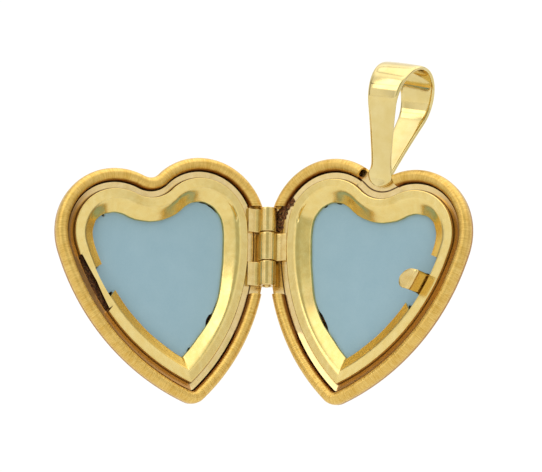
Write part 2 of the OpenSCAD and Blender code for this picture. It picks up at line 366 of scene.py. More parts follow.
def roughness(finish, amount):
    return finish["roughLow"] + (finish["roughHigh"] - finish["roughLow"]) * amount


flangeFinish = {
    "pale": (0.86, 0.68, 0.36),
    "deep": (0.74, 0.53, 0.20),
    # painted shadow for the dark lines beside the rim and at the frame's foot
    "paintedShadow": (0.10, 0.045, 0.015),
    "shade": (0.42, 0.19, 0.05),     # painted shade on the side away from the hinge, for the dark the flange reflects there
    "grooveAt": 0.68,    # mm from the outline
    "frameAt": 1.07,
}


def flangeBuild(b):
    # Drawn metal, with painted shadow as dark lines where it meets the rim and the frame, and painted shade
    # on the side away from the hinge
    where, across = b.lie(), b.across()
    smear = b.noise(b.stretch(where, (1, 1, 1), (7, 3, 1)), 2.6, 4.0, 0.6)
    shadowNoise = b.noise(where, 9.0, 3.0)
    at = flangeFinish["grooveAt"]
    # Painted shadow: dark lines in the groove by the rim and where the frame stands on the flange, broken up
    # by noise
    nearRim = across.ramp(at - 0.06, at - 0.03) * (1.0 - across.ramp(at + 0.01, at + 0.06))
    nearFrame = across.ramp(flangeFinish["frameAt"] - 0.07, flangeFinish["frameAt"])
    paintedShadow = ((nearRim + nearFrame) * (0.7 + shadowNoise * 0.6)).clamp()
    metal = b.mix((smear * 1.6 - 0.3).clamp(), flangeFinish["deep"], flangeFinish["pale"])
    # Painted shade: darker on the side away from the hinge
    metal = b.mix(b.away() * 0.85, metal, flangeFinish["shade"])
    return {"Base Color": b.mix(paintedShadow, metal, flangeFinish["paintedShadow"]), "Metallic": 1.0,
            "Roughness": 0.14 + smear * 0.16,
            "Normal": b.bump(b.noise(b.stretch(where, (0.03, 0.03, 1)), 26.0, 3.0), 0.5, 0.0000015)}


solderFinish = {"dark": (0.05, 0.022, 0.012), "brown": (0.22, 0.085, 0.03), "gold": (0.7, 0.45, 0.14)}


def solderBuild(b):
    # Burnt solder: brown and black crust with a little gold showing
    where = b.place()
    crust, bits = b.noise(where, 7.0, 4.0, 0.7), b.noise(where, 19.0, 3.0)
    colour = b.mix(crust.ramp(0.42, 0.58), solderFinish["dark"], solderFinish["brown"])
    colour = b.mix(bits.ramp(0.6, 0.68), colour, solderFinish["gold"])
    return {"Base Color": colour, "Metallic": 0.8, "Roughness": 0.35 + crust * 0.3,
            "Normal": b.bump(bits + crust, 0.8, 0.00002)}


def newFinish(name, build):
    material = bpy.data.materials.new(name)
    material.use_nodes = True
    bench = Bench(material.node_tree)
    shader = bench.add("ShaderNodeBsdfPrincipled", {}, build(bench))
    bench.add("ShaderNodeOutputMaterial", {}, {"Surface": shader.out("BSDF")})
    return material


satin = {
    "pale": (0.88, 0.62, 0.20),
    "deep": (0.62, 0.36, 0.06),
    "inside": (0.42, 0.18, 0.04),    # painted shade on the inner wall, down towards the flange
    "insideFrom": 1.16,              # mm across the profile
    "roughLow": 0.24,
    "roughHigh": 0.42,
    "strokes": 34.0,     # brush strokes to the mm
    "strokeRun": 2.2,    # how fast a stroke changes along itself
    "strokeBump": 0.00002,
}


def satinBuild(b):
    where = b.lie()
    strokes = b.stretch(where, (1, 1, satin["strokeRun"] / satin["strokes"]))
    fine = b.noise(strokes, satin["strokes"], 3.0, 0.6)
    broad = b.noise(b.stretch(where, (1, 1, 0.3)), 3.0, 3.0)
    tone = ((fine - 0.5) * 2.4 + (broad - 0.5) * 1.0 + 0.5).clamp()
    colour = b.mix(tone, satin["deep"], satin["pale"])
    # Painted shade: the inner wall darkens towards the flange
    innerShade = b.across().ramp(satin["insideFrom"], satin["insideFrom"] + 0.26)
    return {"Base Color": b.mix(innerShade, colour, satin["inside"]), "Metallic": 1.0,
            "Roughness": roughness(satin, fine * 0.6 + broad * 0.4),
            "Normal": b.bump(fine, 0.8, satin["strokeBump"])}


polished = {
    "pale": (0.86, 0.70, 0.30),
    "deep": (0.78, 0.56, 0.17),
    "slopeReflection": (0.88, 0.60, 0.15),      # painted reflection: the inner slope on the side away from the hinge takes the deeper gold it reflects
    "slopeFrom": 0.78,               # mm across the profile
    "roughLow": 0.13,
    "roughHigh": 0.26,
    "lines": 26.0,       # drawn lines to the mm, running along the outline
    "lineBump": 0.0000012,
    "waveBump": 0.00001,
}


def polishedBuild(b):
    where = b.lie()
    lines = b.noise(b.stretch(where, (0.03, 0.03, 1)), polished["lines"], 3.0, 0.6)
    waves = b.noise(where, 0.9, 2.0)
    smear = b.noise(b.stretch(where, (1, 1, 1), (7, 3, 1)), 2.6, 4.0, 0.6)
    height = lines * (polished["lineBump"] / polished["waveBump"]) + waves
    colour = b.mix((smear * 1.6 - 0.3).clamp(), polished["deep"], polished["pale"])
    # Painted reflection: deeper gold on the inner slope, on the side away from the hinge
    slope = b.across().ramp(polished["slopeFrom"], polished["slopeFrom"] + 0.1)
    outerSide = b.away().ramp(0.45, 0.8)
    return {"Base Color": b.mix(slope * outerSide, colour, polished["slopeReflection"]),
            "Metallic": 1.0, "Roughness": roughness(polished, lines * 0.4 + smear * 0.6),
            "Normal": b.bump(height, 1.0, polished["waveBump"])}


bright = {
    "pale": (0.82, 0.68, 0.33),
    "deep": (0.72, 0.55, 0.20),
    "roughLow": 0.04,
    "roughHigh": 0.13,
    "scratchBump": 0.0000016,
    "waveBump": 0.000014,
}


def brightBuild(b):
    where = b.place()
    waves = b.noise(where, 0.45, 2.0)
    scratch = b.noise(b.stretch(where, (1, 1, 0.08)), 18.0, 4.0, 0.7)
    smear = b.noise(where, 1.3, 3.0)
    height = waves + scratch * (bright["scratchBump"] / bright["waveBump"])
    return {"Base Color": b.mix((smear * 1.5 - 0.25).clamp(), bright["deep"], bright["pale"]),
            "Metallic": 1.0, "Roughness": roughness(bright, scratch * 0.5 + smear * 0.5),
            "Normal": b.bump(height, 1.0, bright["waveBump"])}


hingeGold = {
    "pale": (0.86, 0.68, 0.31),
    "deep": (0.72, 0.49, 0.15),
    "roughLow": 0.12,
    "roughHigh": 0.3,
    "pitBump": 0.000006,
}


def hingeBuild(b):
    where = b.place()
    smear = b.noise(where, 2.2, 4.0, 0.6)
    pits = b.noise(where, 16.0, 3.0)
    return {"Base Color": b.mix((smear * 1.8 - 0.4).clamp(), hingeGold["deep"], hingeGold["pale"]),
            "Metallic": 1.0, "Roughness": roughness(hingeGold, smear * 0.6 + pits * 0.4),
            "Normal": b.bump(pits, 0.6, hingeGold["pitBump"])}


cardFinish = {
    "face": (0.345, 0.505, 0.585),
    "shade": (0.305, 0.465, 0.550),
    "core": (0.80, 0.82, 0.80),
    "fibreBump": 0.000008,
}


def cardBuild(b):
    where = b.place()
    fibre = b.noise(where, 9.0, 5.0, 0.65)
    cloud = b.noise(where, 0.9, 3.0)
    tone = ((fibre - 0.5) * 1.1 + (cloud - 0.5) * 1.4 + 0.5).clamp()
    return {"Base Color": b.mix(tone, cardFinish["shade"], cardFinish["face"]), "Metallic": 0.0,
            "Roughness": 0.75 + fibre * 0.2, "Specular IOR Level": 0.25,
            "Normal": b.bump(fibre, 0.5, cardFinish["fibreBump"])}


def coreBuild(b):
    fibre = b.noise(b.place(), 14.0, 4.0)
    return {"Base Color": b.mix(fibre, (0.62, 0.66, 0.66), cardFinish["core"]), "Roughness": 0.85}


satinGold = newFinish("satinGold", satinBuild)
polishedGold = newFinish("polishedGold", polishedBuild)
brightGold = newFinish("brightGold", brightBuild)
hingeMetal = newFinish("hingeGold", hingeBuild)
flangeGold = newFinish("flangeGold", flangeBuild)
# The crust finish serves the solder, and as painted shade the inside of the domes
crustAndShade = newFinish("crustAndShade", solderBuild)
cardFace = newFinish("cardFace", cardBuild)
cardCore = newFinish("cardCore", coreBuild)
print("finishes made")

# Rim and flange of a half

rim = {
    "width": 0.66,
    "crest": 0.03,       # depth of the crest
    "round": 0.36,       # depth of the rounded part
    "square": 2.05,      # 2 is a true ellipse, more is squarer
    "wall": 0.12,
    "seam": 0.72,        # depth where the dome begins
    "hingeTop": 1.82,    # the cut for the hinge, up its axis
    "hingeLow": -2.95,
    "cutBend": 0.12,     # how far along t the cut's lean reaches
    "seamIn": 0.13,      # how far the outer wall draws in at the seam
    "bailLeft": 1.2,     # the cut for the bail's foot, to each side
    "bailRight": 0.88,
}
flange = {
    "depth": 0.5,
    "thick": 0.2,
    "end": 1.28,
    "grooveWide": 0.06,
    "grooveDeep": 0.09,
    "tilt": 0.085,       # the flange dips this much towards the frame
}


def hingeCuts(s):
    # t of the upper and lower end of the hinge's cut, for each inset
    high = tWhere(rim["hingeTop"], 5.0, 6.95, s, upHinge)
    low = tWhere(rim["hingeLow"], 5.0, 6.95, s, upHinge)
    return high, low


def makeBezel(side):
    # Rim: half a superellipse standing on an outer and an inner wall, hollow, cut away for the hinge
    arc = np.linspace(np.pi, 0, 27)
    half, lift = rim["width"] / 2, 2 / rim["square"]
    crestS = half + half * np.sign(np.cos(arc)) * np.abs(np.cos(arc)) ** lift
    crestD = rim["crest"] + rim["round"] * (1 - np.abs(np.sin(arc)) ** lift)
    wallD = np.array([rim["seam"], rim["seam"] - 0.03, 0.6, flange["depth"], 0.45, 0.41])
    wallS = rim["seamIn"] * np.clip((wallD - flange["depth"]) / (rim["seam"] - flange["depth"]), 0, 1)
    s = np.concatenate([wallS, crestS, np.full(4, rim["width"])])
    d = np.concatenate([wallD, crestD, [0.41, 0.44, 0.47, flange["depth"] + 0.02]])
    innerS, innerD = offsetProfile(s, d, rim["wall"])
    highRef, lowRef = (x[0] for x in hingeCuts([half]))
    bailRight, bailLeft = (tWhere(rim[k], 0.0, 1.4, half, lambda u, w: u)[0]
                           for k in ("bailRight", "bailLeft"))
    cuts = [highRef, lowRef] + ([bailRight, -bailLeft] if side == "back" else [])
    t = outlineSteps(cuts)
    high, low = hingeCuts(s)
    bend = rim["cutBend"]
    tt = (t[:, None] + (high - highRef) * np.exp(-(((t - highRef) / bend) ** 2))[:, None]
          + (low - lowRef) * np.exp(-(((t - lowRef) / bend) ** 2))[:, None])
    mid = middles(t)
    gap = (mid > lowRef) & (mid < highRef)
    if side == "back":
        gap |= (mid % 8 < bailRight) | (mid % 8 > 8 - bailLeft)
    belowFlange = (d[1:] >= flange["depth"] - 1e-6) & (np.arange(len(d) - 1) < 6)
    keep = ~gap[:, None] | belowFlange[None, :]
    outer, inner = sweep(tt, s, d), sweep(tt, innerS, innerD)
    rimPart = sheetParts(outer, inner, keep, loop=True)
    rimLie = np.concatenate([lieOf(t, profileRun(s, d))] * 2)

    # Flange: a flat ring with a fine groove where the rim stands on it
    g0, g1 = rim["width"] - 0.005, rim["width"] + flange["grooveWide"]
    fs = np.array([0.03, 0.2, 0.4, rim["width"] - 0.04, g0, g1, g1 + 0.02, 0.8, 0.9, 1.02, 1.12, 1.2,
                   flange["end"]])
    groove = np.array([0, 0, 0, 0, 1, 1, 0, 0, 0, 0, 0, 0, 0])
    seat = np.clip(np.minimum(mid - lowRef + 0.24, highRef - mid + 0.05) / 0.02, 0, 1)[:, None]
    if side == "back":
        byBail = np.minimum(np.abs(t), np.abs(t - 8))[:, None]
        seat = np.maximum(seat, np.clip((bailLeft - byBail) / 0.03, 0, 1))
    slope = flange["tilt"] * np.clip((fs - g1) / (1.02 - g1), 0, 1) - flange["tilt"] / 2 * (fs > g0)
    topD = flange["depth"] + (1 - seat) * (groove * flange["grooveDeep"] + slope)
    under = np.full_like(topD, flange["depth"] + flange["thick"])
    flangeKeep = np.ones((len(t), len(fs) - 1), bool)
    if side == "front":
        slotHigh, slotLow = slotEnds()
        flangeKeep = ~(((mid > slotHigh) & (mid < slotLow))[:, None] & (fs[1:] > 1.05)[None, :])
    upper, lower = sweep(t[:, None], fs, topD), sweep(t[:, None], fs, under)
    flangePart = sheetParts(upper, lower, flangeKeep, loop=True)
    flangeLie = np.concatenate([lieOf(t, fs)] * 2)

    # The side away from the hinge, where the flange gets its painted shade
    flangeAway = np.tile(np.repeat(awayFrom(t), len(fs)), 2)
    for nameEnd, part, lie, away, metal, slotName in (
            ("rim", rimPart, rimLie, None, satinGold, "satin_gold"),
            ("flange", flangePart, flangeLie, flangeAway, flangeGold, "polished_gold")):
        points, faces = part[:2]
        obj = makeMesh(f"{side}_{nameEnd}", placeHalf(side, points), faces, lie, away=away)
        finishPiece(obj, side, slotName, [metal], f"{side}_bezel")


# Domed shells

dome = {
    "summitW": -1.6,
    "round": 1.5,        # 1 leaves the seam upright, more is flatter
    "thick": 0.2,
    "rows": 40,
}


def makeShell(side):
    # Outlines scaled towards a summit point while the depth grows as a sine
    a = np.linspace(0, np.pi / 2, dome["rows"])
    shrink = np.cos(a)
    shrink[-1] = 0
    t = outlineSteps()

    def skin(s, top):
        u, w = heartPoints(t[:, None], s)
        depth = rim["seam"] + (top - rim["seam"]) * np.sin(a) ** dome["round"]
        ww = dome["summitW"] + (w - dome["summitW"]) * shrink
        return np.stack(np.broadcast_arrays(u * shrink, depth, ww), -1)

    outer = skin(rim["seamIn"], heart["caseDepth"])
    inner = skin(rim["seamIn"] + dome["thick"], heart["caseDepth"] - dome["thick"])
    points, faces, kinds = sheetParts(outer, inner, loop=True)
    # The under side and the cut edges take the dark crust finish: painted shade for the inside of the case,
    # seen dark through the gap beyond the card's edge
    obj = makeMesh(f"{side}_dome", placeHalf(side, points), faces, faceKinds=np.minimum(kinds, 1))
    finishPiece(obj, side, "bright_gold", [brightGold, crustAndShade], f"{side}_shell")


# Picture frames and cards

pictureFrame = {
    "outer": 1.08,
    "top": 0.3,
    "window": 2.28,
    "windowDepth": 0.8,
    "thick": 0.13,
    "slopeOuter": 5.0,    # degrees, where the band leaves its outer edge
    "slopeInner": 37.0,   # degrees, at the window
    "slopeAway": 17.0,    # the same on the side away from the hinge
    "windowAway": 0.13,   # how much nearer to the outline the window's edge is there
    "windowLow": 0.17,    # and low on the hinge's side
    "bendFrom": 1.42,
    "bendTo": 1.84,
    "notch": 1.62,        # the catch's notch reaches out to here
    "keeper": 0.14,       # width of the keeper bar
    "slotHigh": -0.75,    # the keeper's slot, in w
    "slotLow": -3.8,
    "slotTaper": 0.33,    # how far along t the slot narrows at its ends
    "lowAt": -4.3,        # w in the middle of that stretch
    "lowHalf": 1.5,
    "creaseS": 1.62,      # a short stamped line beside the hinge
    "creaseW": 0.5,
    "creaseHalf": 0.11,   # half its length, along t
    "creaseWide": 0.035,
    "creaseDeep": 0.09,
}
catch = {"w": -2.4, "width": 1.15, "relief": 1.0, "notchGap": 0.28}


def catchSteps(reach):
    # t of the upper and lower end of a cut beside the catch, at right angles to the outline
    middle = tWhere(catch["w"], 1.6, 3.6, pictureFrame["notch"], lambda u, w: w)[0]
    near = np.linspace(middle - 0.6, middle + 0.6, 801)
    u, w = heartPoints(near, pictureFrame["notch"])
    run = np.concatenate([[0], np.cumsum(np.hypot(np.diff(u), np.diff(w)))])
    return np.interp([-reach, reach], run - run[400], near)


def slotEnds():
    # t of the upper and lower end of the keeper's slot
    return [tWhere(pictureFrame[k], 1.6, 3.6, 1.3, lambda u, w: w)[0] for k in ("slotHigh", "slotLow")]


def frameDepth(s, slopeInner):
    # Depth of the band: its slope turns smoothly from slopeOuter to slopeInner between bendFrom and bendTo
    grid = np.linspace(pictureFrame["outer"], 2.6, 1200)
    f = np.clip((grid - pictureFrame["bendFrom"]) / (pictureFrame["bendTo"] - pictureFrame["bendFrom"]), 0, 1)
    lean = pictureFrame["slopeOuter"] + (slopeInner - pictureFrame["slopeOuter"]) * f * f * (3 - 2 * f)
    deep = np.concatenate([[0], np.cumsum(np.tan(np.radians(lean[1:])) * np.diff(grid))])
    return pictureFrame["top"] + np.interp(s, grid, deep)


def smoothStep(x, low, high):
    f = np.clip((x - low) / (high - low), 0, 1)
    return f * f * (3 - 2 * f)


def awayFrom(t):
    # 1 along the side away from the hinge, 0 elsewhere
    return smoothStep(t, 1.3, 1.75) * (1 - smoothStep(t, 3.7, 3.98))


def makeFrame(side):
    outer, window, notch = pictureFrame["outer"], pictureFrame["window"], pictureFrame["notch"]
    bar = notch - pictureFrame["keeper"]
    bandS = np.append(np.linspace(outer + 0.06, window - 0.03, 30), [bar, notch])
    bandS = np.unique(np.round(bandS, 5))
    edge = 0.05    # radius of the outer edge
    turn = np.radians(np.array([0, 22, 45, 68]))
    s = np.concatenate([[outer, outer], outer + edge * (1 - np.cos(turn)), bandS, [window - 0.01, window]])
    foot = flange["depth"] + flange["tilt"] / 2 + 0.01

    def depths(slope):
        top = frameDepth(outer + edge, slope)
        last = frameDepth(np.array([window - 0.01, window]), slope) + np.array([0.004, 0.02])
        rounded = top + edge * (1 - np.sin(turn))
        return np.concatenate([[foot, top + 2 * edge], rounded, frameDepth(bandS, slope), last])

    d, shallow = depths(pictureFrame["slopeInner"]), depths(pictureFrame["slopeAway"])
    reach = catch["width"] / 2 + (catch["relief"] if side == "back" else catch["notchGap"])
    cut = catchSteps(reach)
    slot = slotEnds()
    t = outlineSteps(np.concatenate([cut, slot]))
    mid = middles(t)
    midS = (s[1:] + s[:-1]) / 2
    keep = ~(((mid > cut[0]) & (mid < cut[1]))[:, None] & (midS > notch)[None, :])
    squeeze = np.ones(len(t))
    if side == "front":
        keep &= ~(((mid > slot[0]) & (mid < slot[1]))[:, None] & (midS < bar)[None, :])
        toEnd = np.minimum(t - slot[0], slot[1] - t) / pictureFrame["slotTaper"]
        squeeze = np.where(toEnd > -1e-6, 0.25 + 0.75 * np.clip(toEnd, 0, 1) ** 0.7, 1.0)
    # The window's edge was cut by hand: it wanders a little, and a short line is stamped beside the hinge
    wander = 0.007 * np.sin(t * 11.3) + 0.006 * np.sin(t * 29.1 + 1.3)
    away = awayFrom(t)[:, None]
    inwards = np.clip((s - notch) / (window - notch), 0, 1)
    edgeU, edgeW = heartPoints(t, window)
    lowSide = np.exp(-(((edgeW - pictureFrame["lowAt"]) / pictureFrame["lowHalf"]) ** 2)) * (edgeU < -0.05)
    ss = s[None, :] + wander[:, None] * np.clip((s - 2.0) / 0.28, 0, 1)
    ss = ss - (pictureFrame["windowAway"] * away + pictureFrame["windowLow"] * lowSide[:, None]) * inwards
    # At the slot's ends the keeper's outer edge comes nearer to the frame's outer wall
    ss = ss + (squeeze[:, None] - 1) * (bar - outer) * np.interp(s, [outer, bar, notch], [0, 1, 0])[None, :]
    creaseT = tWhere(pictureFrame["creaseW"], 5.6, 6.9, pictureFrame["creaseS"], lambda u, w: w)[0]
    crease = (np.exp(-(((t - creaseT) / pictureFrame["creaseHalf"]) ** 4))[:, None]
              * np.exp(-(((ss - pictureFrame["creaseS"]) / pictureFrame["creaseWide"]) ** 2)))
    dd = d + (shallow - d) * away + pictureFrame["creaseDeep"] * crease
    # The under side follows the slope, but closes straight down at the two edges
    innerS, innerD = offsetProfile(s, d, pictureFrame["thick"])
    share = np.clip((s - (window - 0.2)) / 0.2, 0, 1)
    innerS = innerS * (1 - share) + s * share
    innerD = np.where(s > 2.0, d + pictureFrame["thick"] * 1.2, innerD)
    innerD[0], innerS[:2] = foot, outer + pictureFrame["thick"]
    topGrid = sweep(t[:, None], ss, dd)
    underGrid = sweep(t[:, None], innerS + ss - s, innerD + (shallow - d) * away)
    points, faces = sheetParts(topGrid, underGrid, keep, loop=True)[:2]
    lie = np.concatenate([lieOf(t, profileRun(s, d), 1.5)] * 2)
    # The side away from the hinge, where the inner slope gets its painted reflection
    pointAway = np.tile(np.repeat(awayFrom(t), len(s)), 2)
    obj = makeMesh(f"{side}_picture_frame", placeHalf(side, points), faces, lie, smoothAngle=30,
                   away=pointAway)
    finishPiece(obj, side, "polished_gold", [polishedGold], f"{side}_frame")


card = {
    "depth": 1.0,
    "thick": 0.2,
    "inset": 2.13,
    # where the trimmed edge falls short: (t, half length in t, by how much)
    "front": [(6.45, 0.34, 0.2), (1.41, 0.035, 0.26), (5.34, 0.04, 0.14), (5.07, 0.03, 0.2)],
    "back": [(6.72, 0.10, 0.2), (6.45, 0.07, 0.19), (5.33, 0.07, 0.13), (5.12, 0.12, 0.12)],
    "reach": 1.8,         # where the frame is cut away beside the catch the card reaches out to here
}


def makeCard(side):
    t = outlineSteps(fine=1.5)
    inset = card["inset"] + 0.012 * np.sin(t * 17.0) + 0.01 * np.sin(t * 43.0 + 0.7)
    for at, long, by in card[side]:
        inset = inset + by * np.exp(-(((t - at) / long) ** 4))
    reach = catch["width"] / 2 + (catch["relief"] if side == "back" else catch["notchGap"]) - 0.04
    high, low = catchSteps(reach)
    inset = np.where((t > high) & (t < low), card["reach"], inset)
    u, w = heartPoints(t, inset)
    share = np.linspace(1, 0, 14)[None, :] ** 0.8
    middleW = dome["summitW"]
    bulge = 0.012 * np.cos(3 * share * u[:, None]) * (1 - share)

    def face(depth):
        ww = middleW + (w[:, None] - middleW) * share
        return np.stack(np.broadcast_arrays(u[:, None] * share, depth, ww), -1)

    under = card["depth"] + card["thick"]
    points, faces, kinds = sheetParts(face(card["depth"] + bulge), face(under), loop=True)
    obj = makeMesh(f"{side}_picture_card", placeHalf(side, points), faces, faceKinds=kinds // 2)
    finishPiece(obj, side, "card", [cardFace, cardCore], f"{side}_card")


# Hinge

hinge = {
    "barrelR": 0.47,
    "pinR": 0.2,
    "wall": 0.245,
    "leafEnd": 0.99,
    "leafDepth": 0.4,     # middle of the flat leaf
    "leafThick": 0.2,
    "wrapTo": 298.0,      # degrees the leaf rolls round the pin
    "endKnuckle": 1.3,
    "middleKnuckle": 1.5,
    "gap": 0.06,
    "top": 1.72,
    "softEnd": 0.05,      # rounding at a knuckle's ends
    "easeFrom": 0.62,     # where the flat leaf begins to rise to the roll
    "flatEnd": 0.3,
    "pinOut": 0.1,        # how far the pin stands out at each end
}


def makeLeaf(name, side, low, long, node):
    # A strip: flat on the flange, then rolled round the pin, with its cut edges eased
    rollR = hinge["barrelR"] - hinge["wall"] / 2
    flat = np.linspace(hinge["leafEnd"], hinge["flatEnd"], 10)
    rising = smoothStep(-flat, -hinge["easeFrom"], -hinge["flatEnd"])
    flatDepth = hinge["leafDepth"] - (hinge["leafDepth"] - rollR * 0.985) * rising
    angle = np.radians(np.linspace(0, hinge["wrapTo"], 64))
    x = np.concatenate([flat, np.linspace(0.24, 0.06, 4), -rollR * np.sin(angle)])
    d = np.concatenate([flatDepth, np.full(4, rollR), rollR * np.cos(angle)])
    thick = np.interp(x, [hinge["flatEnd"], 0.7], [hinge["wall"], hinge["leafThick"]])
    thick[len(flat):] = hinge["wall"]
    normal = pathNormal(np.stack([x, d], -1))
    soft = hinge["softEnd"]
    end = np.array([0, 0.15, 0.4, 1.0]) * soft
    z = low + np.concatenate([end, np.linspace(soft, long - soft, 9)[1:-1], long - end[::-1]])
    trim = np.concatenate([[0.55, 0.25, 0.07, 0], np.zeros(7), [0, 0.07, 0.25, 0.55]]) * soft

    def skin(sign):
        h = thick[:, None] / 2 - trim[None, :]
        return fromHinge(x[:, None] + sign * normal[:, :1] * h, d[:, None] + sign * normal[:, 1:] * h, z)

    points, faces = sheetParts(skin(1), skin(-1))[:2]
    obj = makeMesh(name, placeHalf(side, points), faces, smoothAngle=40)
    finishPiece(obj, side, "hinge_gold", [hingeMetal], node)


solder = {
    "from": (-6.15, -1.0),   # u and w of its corners
    "to": (-4.75, 1.55),
    "midU": -5.62,
    "midW": 0.3,
    "lean": 0.42,            # its middle line leans inwards towards the top
    "halfU": 0.33,
    "halfW": 1.12,
    "high": 0.13,
    "steps": (90, 150),
}


def makeSolder():
    # A crust on the flange beside the middle knuckle: a patch with a ragged edge, raised in lumps
    u = np.linspace(solder["from"][0], solder["to"][0], solder["steps"][0])[:, None]
    w = np.linspace(solder["from"][1], solder["to"][1], solder["steps"][1])[None, :]
    lineU = solder["midU"] + solder["lean"] * np.clip(w - 0.2, 0, 2)
    ragged = 0.05 * np.sin(w * 9.0) + 0.03 * np.sin(w * 23.0 + u * 7.0)
    inside = (1 - ((u - lineU) / (solder["halfU"] + ragged)) ** 2
              - ((w - solder["midW"]) / (solder["halfW"] + ragged)) ** 4)
    coarse = np.sin(u * 21 + 2 * np.sin(w * 13)) * np.sin(w * 17 + 1)
    lumps = 0.75 + 0.2 * coarse + 0.08 * np.sin(u * 57) * np.sin(w * 49)
    height = solder["high"] * np.sqrt(np.clip(inside, 0, 1)) * lumps
    uu, ww = np.broadcast_arrays(u, w)
    top = np.stack([uu, flange["depth"] - height + 0.02, ww], -1)
    under = np.stack([uu, np.full_like(height, flange["depth"] + 0.05), ww], -1)
    points, faces = sheetParts(top, under, inside[1:, 1:] > 0.02)[:2]
    obj = makeMesh("solder_crust", placeHalf("back", points), faces, smoothAngle=60)
    finishPiece(obj, "back", "hinge_gold", [crustAndShade], "back_hinge_leaf")


def makePin():
    # A turned rod with domed, slightly spread heads
    barrel = 2 * hinge["endKnuckle"] + hinge["middleKnuckle"] + 2 * hinge["gap"]
    low = hinge["top"] - barrel - hinge["pinOut"]
    high = hinge["top"] + hinge["pinOut"]
    z = np.array([0, 0.01, 0.035, 0.07, 0.12, 0.3])
    r = hinge["pinR"] * np.array([0.0, 0.45, 0.8, 0.97, 1.0, 1.0])
    zz = np.concatenate([low + z, high - z[::-1]])
    rr = np.concatenate([r, r[::-1]])
    a = np.linspace(0, 2 * np.pi, 48, endpoint=False)
    x, depth = rr * np.cos(a)[:, None], rr * np.sin(a)[:, None]
    ring = fromHinge(x, depth, np.broadcast_to(zz, x.shape))
    n, m = ring.shape[:2]
    i, j = (g.ravel() for g in np.meshgrid(np.arange(n), np.arange(m - 1), indexing="ij"))
    faces = np.stack([i * m + j, (i + 1) % n * m + j, (i + 1) % n * m + j + 1, i * m + j + 1], -1)
    obj = makeMesh("pin", placeHalf("back", ring.reshape(-1, 3)), faces)
    finishPiece(obj, "front", "hinge_gold", [hingeMetal], "hinge_pin")


# Catch tongue

tongue = {
    "rise": 0.66,
    "lip": 0.85,
    "droop": 0.2,         # how far the lip's end slides down along the outline
    "dip": 0.1,           # how much the lip's end dips into the half
    "thick": 0.16,
    "gap": 0.08,          # between the stem and the keeper
    "root": 0.38,
    "flare": 0.12,        # how much wider the root is to each side
    "flareRun": 0.8,      # the flare ends this far along the strip
    "under": 0.2,         # the root's outside lies this far below the frame's top
    "lean": 0.1,
    "bendR": 0.1,
    "endR": 0.52,         # where the lip's round end begins
    "endShape": 2.4,
}


def roundedPath(points, r, steps=9):
    # Straight runs joined by quadratic bends that start r before each corner
    points = np.asarray(points, float)
    out = [points[:1]]
    f = np.linspace(0, 1, steps)[:, None]
    for a, b, c in zip(points[:-2], points[1:-1], points[2:]):
        p = b + (a - b) / np.linalg.norm(a - b) * r
        q = b + (c - b) / np.linalg.norm(c - b) * r
        out.append((1 - f) ** 2 * p + 2 * f * (1 - f) * b + f**2 * q)
    out.append(points[-1:])
    return np.concatenate(out)


def densePath(path, step):
    # The same path with a point at every step, and how far along each point is
    run = profileRun(*path.T)
    even = np.linspace(0, run[-1], int(run[-1] / step) + 2)
    return np.stack([np.interp(even, run, path[:, k]) for k in (0, 1)], -1), even


def makeTongue():
    # A strip bent in (r, depth) about the side curve's centre: root behind the band, stem up, lip inwards
    turnIn = np.arcsin((catch["w"] - sideW) / (sideR - pictureFrame["notch"]))
    stemR = sideR - pictureFrame["notch"] - tongue["gap"] - tongue["thick"] / 2
    headR = stemR - tongue["lean"]
    rootDepth = pictureFrame["top"] + tongue["under"] + tongue["thick"] / 2
    top = -tongue["rise"] + tongue["thick"] / 2
    corners = [(stemR + tongue["root"], rootDepth), (stemR, rootDepth), (headR, top),
               (headR - tongue["lip"] + tongue["thick"] / 2, top + tongue["dip"])]
    path, run = densePath(roundedPath(corners, tongue["bendR"]), 0.03)
    normal = pathNormal(path)
    toTip = np.maximum(run[-1] - run, 0)
    roundEnd = np.clip((tongue["endR"] - toTip) / tongue["endR"], 0, 1) ** tongue["endShape"]
    halfW = catch["width"] / 2 * np.sqrt(np.clip(1 - roundEnd, 0.02, 1))
    halfW = halfW + tongue["flare"] * np.clip(1 - run / tongue["flareRun"], 0, 1) ** 1.5
    x = np.sin(np.linspace(-np.pi / 2, np.pi / 2, 21))
    body = np.sqrt(np.clip(1 - np.abs(x) ** 10, 0, 1)) * 0.92 + 0.08
    half = tongue["thick"] / 2 * body[None, :]

    def skin(sign):
        r = path[:, :1] + sign * normal[:, :1] * half
        depth = path[:, 1:] + sign * normal[:, 1:] * half
        z = halfW[:, None] * x - tongue["droop"] * np.clip((headR - path[:, :1]) / tongue["lip"], 0, 1)
        u = sideU + r * np.cos(turnIn) - z * np.sin(turnIn)
        w = sideW + r * np.sin(turnIn) + z * np.cos(turnIn)
        return np.stack(np.broadcast_arrays(u, depth, w), -1)

    points, faces = sheetParts(skin(1), skin(-1))[:2]
    obj = makeMesh("catch_tongue_strip", placeHalf("back", points), faces, smoothAngle=40)
    finishPiece(obj, "back", "hinge_gold", [hingeMetal], "catch_tongue")


# Bail

bail = {
    "rise": 6.3,          # height of the loop over the cleft
    "deep": 3.9,
    "set": 0.6,           # depth of the loop's middle
    "thick": 0.25,
    "crownHalf": 1.2,
    "neckHalf": 0.57,
    "spread": 1.6,        # how late the strip widens towards the crown
    "footHalf": 0.8,
    "footLow": 2.42,
    "footEnd": 1.6,       # the foot's outline is only read this far along the strip
    "rearUp": 0.15,       # where the legs meet, over the cleft
    "crownBow": 0.03,     # how much the strip is bowed across
    "heelR": 0.5,         # where the bend at the heel begins
    "neckAt": 0.85,       # where the foot has narrowed half way to the strip
    "neckBlend": 0.13,
}


